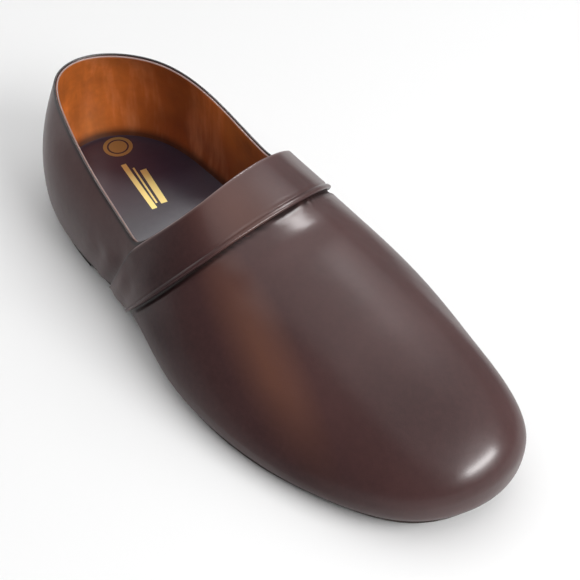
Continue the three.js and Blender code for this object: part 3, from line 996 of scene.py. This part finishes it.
outer = wall_sheet("upper_leather", 0.0, OUTER_THICKNESS, 0.0, upper_relief)
lining = wall_sheet(
    "upper_lining", LINING_OFFSET, LINING_THICKNESS, LINING_DROP, None,
    fore=220, heel=150, steps=50, turns=6, inner_steps=50,
)
place(outer, upper_leather, "upper_leather", "upper")
place(lining, lining_leather, None)
place(cuff_band("cuff"), cuff_leather, "cuff_leather", "cuff_band")
place(insole("sock"), insole_leather, "insole_leather", "insole")
place(outsole("sole"), sole_leather, "sole_leather", "outsole")
place(heel_lift("heel"), heel_rubber, "heel_rubber", "heel_lift")
place(foil_ring("foil_disc", 0.0, DISC_RADIUS * DISC_SHARE), shaded_gold, None)
place(foil_ring("foil_ring", DISC_RADIUS * RING_SHARE, DISC_RADIUS), shaded_gold, None)
place(foil_bars("foil_bars"), gold, None)

# Floor and light
FLOOR_HALF = 6.0
FLOOR_LEVEL = -0.0002
floor_mesh = bpy.data.meshes.new("floor")
floor_signs = ((-1, -1), (1, -1), (1, 1), (-1, 1))
floor_corners = [(x * FLOOR_HALF, y * FLOOR_HALF, FLOOR_LEVEL) for x, y in floor_signs]
floor_mesh.from_pydata(floor_corners, [], [(0, 1, 2, 3)])
floor = bpy.data.objects.new("floor", floor_mesh)
bpy.context.scene.collection.objects.link(floor)
floor_material, _, floor_shader = new_material("floor")
floor_shader.inputs["Base Color"].default_value = (0.88, 0.88, 0.88, 1.0)
floor_shader.inputs["Roughness"].default_value = 0.75
floor_shader.inputs["Specular IOR Level"].default_value = 0.0
floor_mesh.materials.append(floor_material)

scene = bpy.context.scene
world = bpy.data.worlds.new("studio")
scene.world = world
world.use_nodes = True
world.node_tree.nodes["Background"].inputs["Color"].default_value = (1.0, 1.0, 1.0, 1.0)
world.node_tree.nodes["Background"].inputs["Strength"].default_value = 0.12


def soft_light(name, centre, target, width, height, watts, diffuse=True, glossy=True):
    """A rectangular lamp, which may light only the surface or only its reflections."""
    data = bpy.data.lights.new(name, "AREA")
    data.shape = "RECTANGLE"
    data.size = width
    data.size_y = height
    data.energy = watts
    lamp = bpy.data.objects.new(name, data)
    lamp.location = centre
    lamp.rotation_euler = (Vector(target) - Vector(centre)).to_track_quat("-Z", "Y").to_euler()
    lamp.visible_camera = False
    lamp.visible_diffuse = diffuse
    lamp.visible_glossy = glossy
    scene.collection.objects.link(lamp)
    return lamp


soft_light("overhead", (0.0, 0.42, 1.25), (0.0, 0.42, 0.0), 2.4, 2.78, 23.0)
soft_light("medial_side", (-0.2, 1.75, 0.65), (0.0, 0.0, 0.10), 2.2, 0.7, 2.2)
soft_light("heel_side", (-1.60, -0.45, 0.35), (0.0, 0.0, 0.03), 0.9, 0.6, 4.0)
soft_light("front_fill", (1.16, 0.20, 0.92), (0.0, 0.0, 0.05), 1.0, 0.5, 15.0, glossy=False)
soft_light("toe_glint", (1.30, 0.18, 0.93), (0.13, 0.0, 0.03), 1.15, 0.27, 54.0, diffuse=False)
soft_light("crest_glint", (-0.465, 0.593, 1.110), (0.02, 0.0, 0.07), 0.30, 0.30, 8.5, diffuse=False)

# Camera: the photograph's own place, turned and zoomed to frame the shoe
AZIMUTH = math.radians(47.05)
ELEVATION = math.radians(40.78)
DISTANCE = 731.26
AIM = np.array([127.87, 92.79, 25.0])
ROLL = 0.081
SHOE_AIM = np.array([158.4, -2.4, 30.0])
FOCAL_PIXELS = 1560.0
IMAGE_PIXELS = 580.0

toward = np.array([
    math.cos(ELEVATION) * math.cos(AZIMUTH),
    -math.cos(ELEVATION) * math.sin(AZIMUTH),
    math.sin(ELEVATION),
])
eye = AIM + DISTANCE * toward
forward = Vector(-toward)
right = forward.cross(Vector((0, 0, 1))).normalized()
up = right.cross(forward)
rolled_right = right * math.cos(ROLL) + up * math.sin(ROLL)
rolled_up = up * math.cos(ROLL) - right * math.sin(ROLL)
photo_turn = Matrix((rolled_right, rolled_up, -forward)).transposed()
new_forward = Vector(SHOE_AIM - eye).normalized()
turn = forward.rotation_difference(new_forward).to_matrix() @ photo_turn

camera_data = bpy.data.cameras.new("camera")
camera_data.sensor_width = 36.0
camera_data.lens = FOCAL_PIXELS / IMAGE_PIXELS * camera_data.sensor_width
camera_data.clip_start = 0.01
camera_data.clip_end = 20.0
camera = bpy.data.objects.new("camera", camera_data)
camera.matrix_world = Matrix.Translation((eye + LAST_ORIGIN) * MILLIMETRE) @ turn.to_4x4()
scene.collection.objects.link(camera)
scene.camera = camera
scene.view_settings.view_transform = "Standard"
